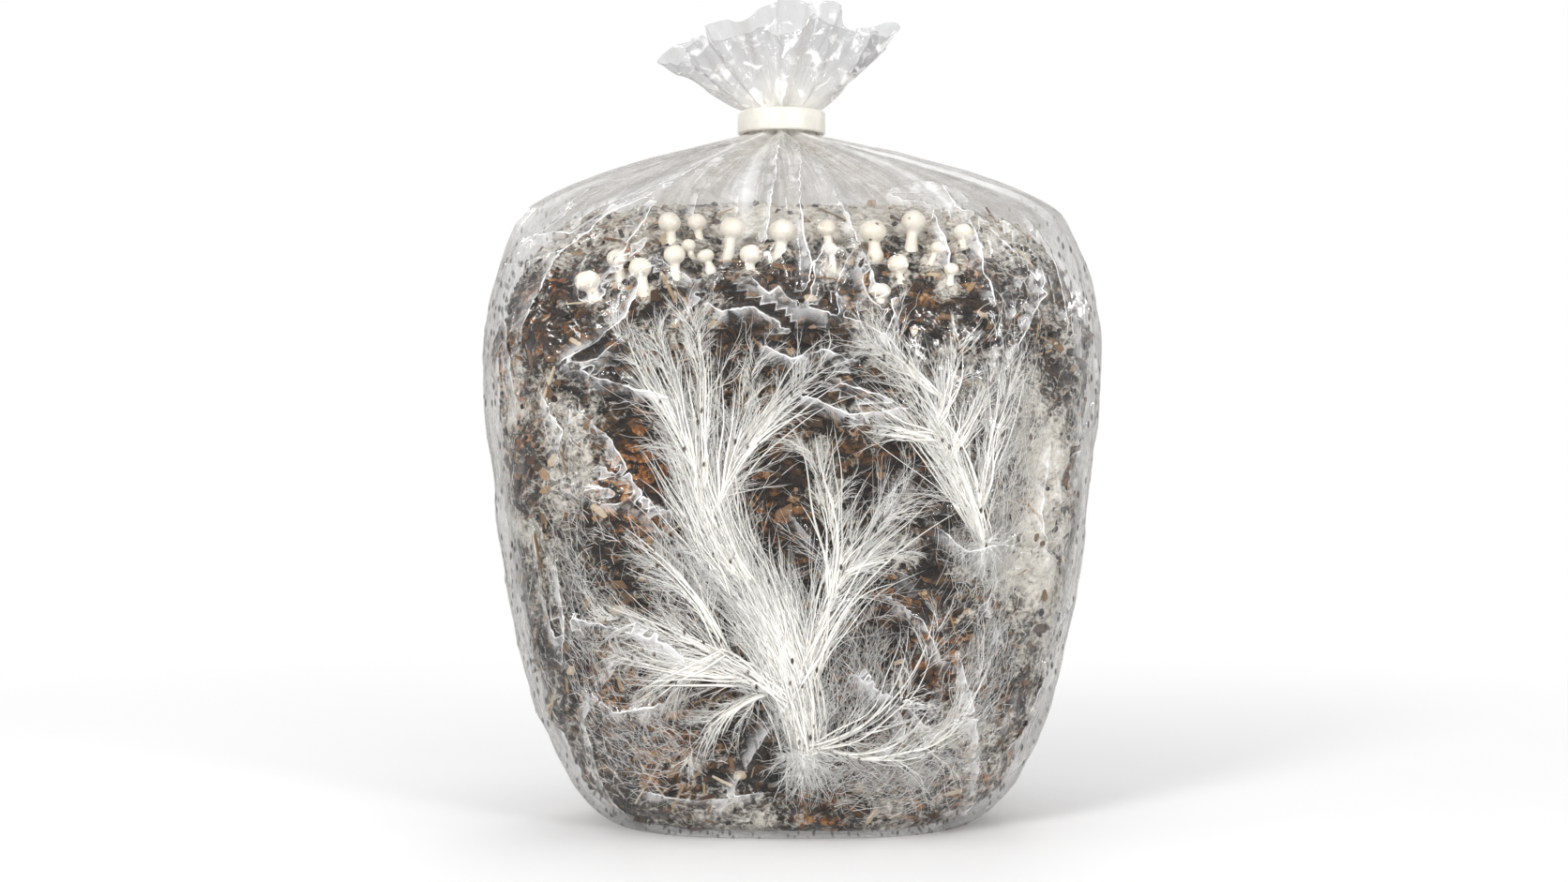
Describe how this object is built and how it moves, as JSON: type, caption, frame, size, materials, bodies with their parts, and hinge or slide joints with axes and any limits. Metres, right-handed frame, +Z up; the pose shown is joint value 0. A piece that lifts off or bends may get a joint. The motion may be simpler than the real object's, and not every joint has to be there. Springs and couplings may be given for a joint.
{
  "type": "mushroom grow bag",
  "caption": "Clear film grow bag gathered through a collar ring, holding a compost block with branching mycelium on its faces and pin mushrooms on its crown.",
  "frame": {"origin": "centre of the flat base that the bag stands on", "axes": "+Z up through the neck, -Y out of the front face with the largest fan of mycelium, +X to that face's right"},
  "size_m": [0.14, 0.1, 0.1897],
  "materials": {
    "clear_film": "clear, glossy and creased",
    "ivory_plastic": "satin moulded plastic",
    "compost": "damp, rough compost with straw and wood bits",
    "mycelium_felt": "matte white felted threads",
    "pin_flesh": "smooth cream flesh"
  },
  "bodies": {
    "root": {"collar_ring": "ivory_plastic", "compost_block": "compost", "film_bag": "clear_film", "mycelium_back_fan": "mycelium_felt", "mycelium_front_foot_fork": "mycelium_felt", "mycelium_front_left_fork": "mycelium_felt", "mycelium_front_right_fork": "mycelium_felt", "mycelium_front_trunk": "mycelium_felt", "mycelium_front_upper_fan": "mycelium_felt", "mycelium_left_side_fan": "mycelium_felt", "mycelium_right_side_fan": "mycelium_felt", "pin_mushroom_01": "pin_flesh", "pin_mushroom_02": "pin_flesh", "pin_mushroom_03": "pin_flesh", "pin_mushroom_04": "pin_flesh", "pin_mushroom_05": "pin_flesh", "pin_mushroom_06": "pin_flesh", "pin_mushroom_07": "pin_flesh", "pin_mushroom_08": "pin_flesh", "pin_mushroom_09": "pin_flesh", "pin_mushroom_10": "pin_flesh", "pin_mushroom_11": "pin_flesh", "pin_mushroom_12": "pin_flesh", "pin_mushroom_13": "pin_flesh", "pin_mushroom_14": "pin_flesh", "pin_mushroom_15": "pin_flesh", "pin_mushroom_16": "pin_flesh", "pin_mushroom_17": "pin_flesh", "pin_mushroom_18": "pin_flesh", "pin_mushroom_19": "pin_flesh", "pin_mushroom_20": "pin_flesh", "pin_mushroom_21": "pin_flesh", "pin_mushroom_22": "pin_flesh", "pin_mushroom_23": "pin_flesh", "pin_mushroom_24": "pin_flesh"}
  },
  "joints": []
}
